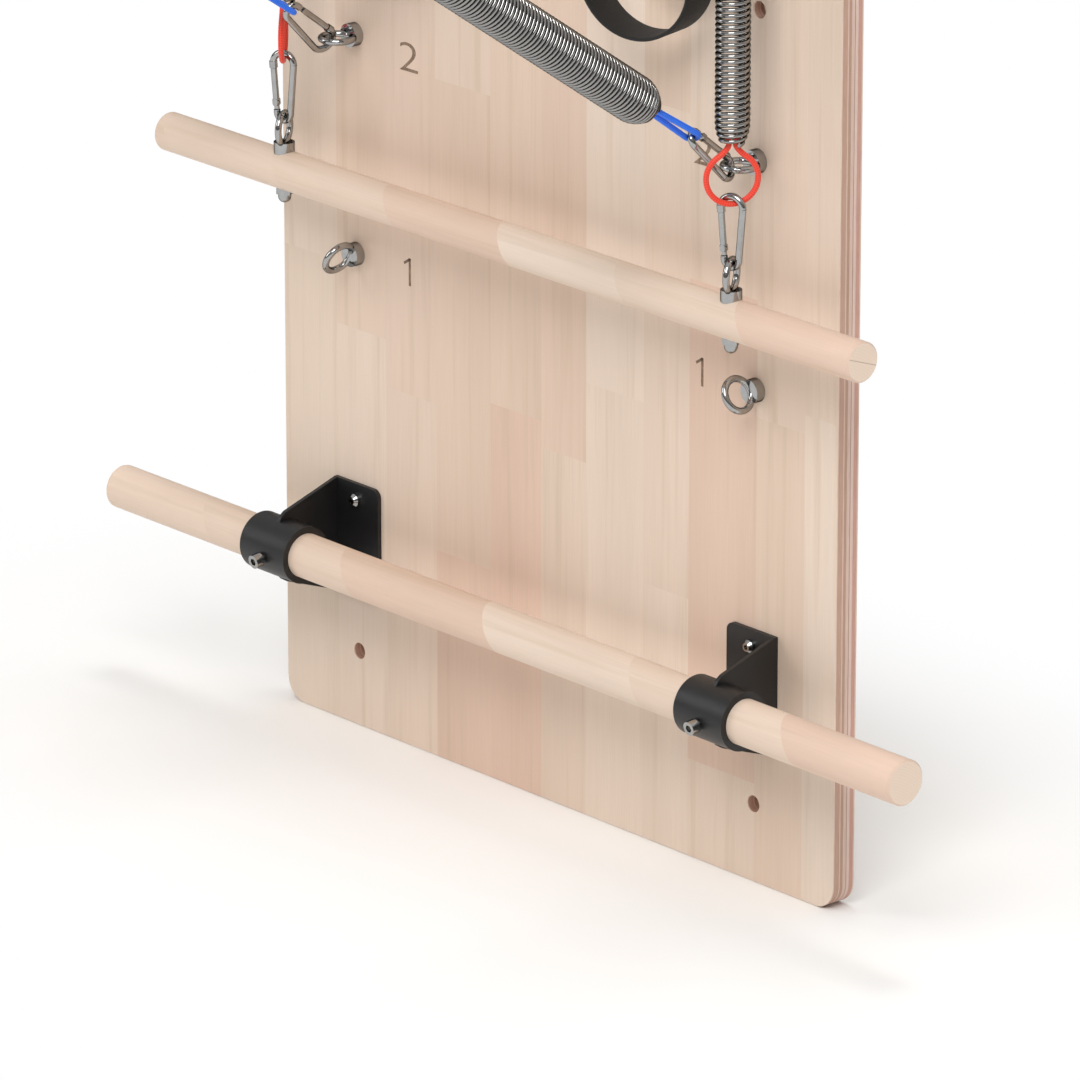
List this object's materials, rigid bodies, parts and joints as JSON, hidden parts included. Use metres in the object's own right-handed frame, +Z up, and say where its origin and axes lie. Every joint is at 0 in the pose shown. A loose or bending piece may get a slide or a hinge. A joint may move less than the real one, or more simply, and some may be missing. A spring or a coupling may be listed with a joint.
{
  "type": "pilates wall tower",
  "caption": "Wall-mounted spring exercise tower: board with eye bolts, foot bar, hanging roll-down bar, sprung push-through bar and strap loops.",
  "frame": {"origin": "middle of the board's bottom edge, halfway through its thickness", "axes": "+X to the right as seen from the front, +Y into the wall, +Z up"},
  "size_m": [1.03, 0.6518, 2],
  "materials": {
    "beech_panel": "satin",
    "beech_dowel": "satin",
    "black_powder_coat": "satin",
    "black_webbing": "matte",
    "red_cord": "matte",
    "blue_cord": "matte",
    "spring_steel": "polished",
    "zinc_plated_steel": "polished",
    "stainless_steel": "satin"
  },
  "bodies": {
    "frame": {"board": "beech_panel", "eye_bolts_left": "stainless_steel", "eye_bolts_right": "stainless_steel", "eye_nuts": "stainless_steel", "foot_bar": "beech_dowel", "foot_bracket_left": "black_powder_coat", "foot_bracket_right": "black_powder_coat", "bracket_screws": "stainless_steel", "clamp_screws": "stainless_steel", "blue_loops_near": "blue_cord", "blue_hook_near_left": "zinc_plated_steel", "blue_hook_near_right": "zinc_plated_steel", "ptb_bracket_left": "black_powder_coat", "ptb_bracket_right": "black_powder_coat", "ptb_pivot_pins": "stainless_steel", "spring_hanger_left": "black_powder_coat", "spring_hanger_right": "black_powder_coat", "upper_screws": "stainless_steel", "strap_pegs": "black_powder_coat"},
    "push_through_bar": {"ptb_arm_left": "black_powder_coat", "ptb_arm_right": "black_powder_coat", "ptb_crossbar": "beech_dowel", "ptb_eyes": "stainless_steel", "ptb_dome_nuts": "stainless_steel", "blue_loops_far": "blue_cord", "blue_hook_far_left": "zinc_plated_steel", "blue_hook_far_right": "zinc_plated_steel", "blue_spring_left": "spring_steel", "blue_spring_right": "spring_steel"},
    "hanging_springs": {"red_hook_upper_left": "zinc_plated_steel", "red_hook_upper_right": "zinc_plated_steel", "red_loops_upper": "red_cord", "red_spring_left": "spring_steel", "red_spring_right": "spring_steel"},
    "spring_ends": {"red_loops_lower": "red_cord", "red_hook_lower_left": "zinc_plated_steel", "red_hook_lower_right": "zinc_plated_steel"},
    "roll_down_bar": {"roll_down_bar": "beech_dowel", "bar_eye_left": "stainless_steel", "bar_eye_right": "stainless_steel", "bar_dome_nuts": "stainless_steel"},
    "red_gate_upper_left": {"red_gate_upper_left": "zinc_plated_steel"},
    "red_gate_upper_right": {"red_gate_upper_right": "zinc_plated_steel"},
    "red_gate_lower_left": {"red_gate_lower_left": "zinc_plated_steel"},
    "red_gate_lower_right": {"red_gate_lower_right": "zinc_plated_steel"},
    "blue_gate_near_left": {"blue_gate_near_left": "zinc_plated_steel"},
    "blue_gate_near_right": {"blue_gate_near_right": "zinc_plated_steel"},
    "blue_gate_far_left": {"blue_gate_far_left": "zinc_plated_steel"},
    "blue_gate_far_right": {"blue_gate_far_right": "zinc_plated_steel"},
    "strap_left": {"strap_left": "black_webbing"},
    "strap_right": {"strap_right": "black_webbing"}
  },
  "joints": [
    {"name": "push_through_swing", "type": "hinge", "parent": "frame", "child": "push_through_bar", "pos_m": [0, -0.069, 1.393], "axis": [-1, 0, 0], "range_deg": [0, 60], "stiffness_Nm_per_rad": 60, "springref_deg": -17.19, "deforming": ["blue_spring_left", "blue_spring_right"]},
    {"name": "roll_down_swing", "type": "hinge", "parent": "frame", "child": "hanging_springs", "pos_m": [0, -0.069, 1.62], "axis": [-1, 0, 0], "range_deg": [0, 35]},
    {"name": "roll_down_pull", "type": "slide", "parent": "hanging_springs", "child": "spring_ends", "axis": [0, 0, -1], "range_m": [0, 0.25], "stiffness_N_per_m": 300, "springref_m": -0.05, "deforming": ["red_spring_left", "red_spring_right"]},
    {"name": "roll_down_tilt", "type": "hinge", "parent": "spring_ends", "child": "roll_down_bar", "pos_m": [0, -0.069, 0.566], "axis": [1, 0, 0], "range_deg": [-10, 10]},
    {"name": "red_gate_upper_left_open", "type": "hinge", "parent": "hanging_springs", "child": "red_gate_upper_left", "pos_m": [-0.29745, -0.069, 1.57345], "axis": [0, 1, 0], "range_deg": [0, 20], "stiffness_Nm_per_rad": 0.05, "springref_deg": -11.46},
    {"name": "red_gate_upper_right_open", "type": "hinge", "parent": "hanging_springs", "child": "red_gate_upper_right", "pos_m": [0.28255, -0.069, 1.57345], "axis": [0, 1, 0], "range_deg": [0, 20], "stiffness_Nm_per_rad": 0.05, "springref_deg": -11.46},
    {"name": "red_gate_lower_left_open", "type": "hinge", "parent": "spring_ends", "child": "red_gate_lower_left", "pos_m": [-0.29709, -0.0713, 0.58045], "axis": [-0.309, 0.9511, 0], "range_deg": [0, 20], "stiffness_Nm_per_rad": 0.05, "springref_deg": -11.46},
    {"name": "red_gate_lower_right_open", "type": "hinge", "parent": "spring_ends", "child": "red_gate_lower_right", "pos_m": [0.28291, -0.0713, 0.58045], "axis": [-0.309, 0.9511, 0], "range_deg": [0, 20], "stiffness_Nm_per_rad": 0.05, "springref_deg": -11.46},
    {"name": "blue_gate_near_left_open", "type": "hinge", "parent": "frame", "child": "blue_gate_near_left", "pos_m": [-0.25807, -0.0721, 0.67229], "axis": [-0.9659, 0.1732, 0.1923], "range_deg": [0, 20], "stiffness_Nm_per_rad": 0.05, "springref_deg": -11.46},
    {"name": "blue_gate_near_right_open", "type": "hinge", "parent": "frame", "child": "blue_gate_near_right", "pos_m": [0.25627, -0.0726, 0.67173], "axis": [-0.866, -0.3346, -0.3716], "range_deg": [0, 20], "stiffness_Nm_per_rad": 0.05, "springref_deg": -11.46},
    {"name": "blue_gate_far_left_open", "type": "hinge", "parent": "push_through_bar", "child": "blue_gate_far_left", "pos_m": [-0.26, -0.53478, 0.99332], "axis": [1, 0, 0], "range_deg": [0, 20], "stiffness_Nm_per_rad": 0.05, "springref_deg": -11.46},
    {"name": "blue_gate_far_right_open", "type": "hinge", "parent": "push_through_bar", "child": "blue_gate_far_right", "pos_m": [0.26, -0.53478, 0.99332], "axis": [1, 0, 0], "range_deg": [0, 20], "stiffness_Nm_per_rad": 0.05, "springref_deg": -11.46},
    {"name": "strap_left_swing", "type": "hinge", "parent": "frame", "child": "strap_left", "pos_m": [-0.165, -0.054, 1.1], "axis": [0, -1, 0], "range_deg": [-6, 15]},
    {"name": "strap_right_swing", "type": "hinge", "parent": "frame", "child": "strap_right", "pos_m": [0.165, -0.054, 1.1], "axis": [0, 1, 0], "range_deg": [-6, 15]}
  ]
}
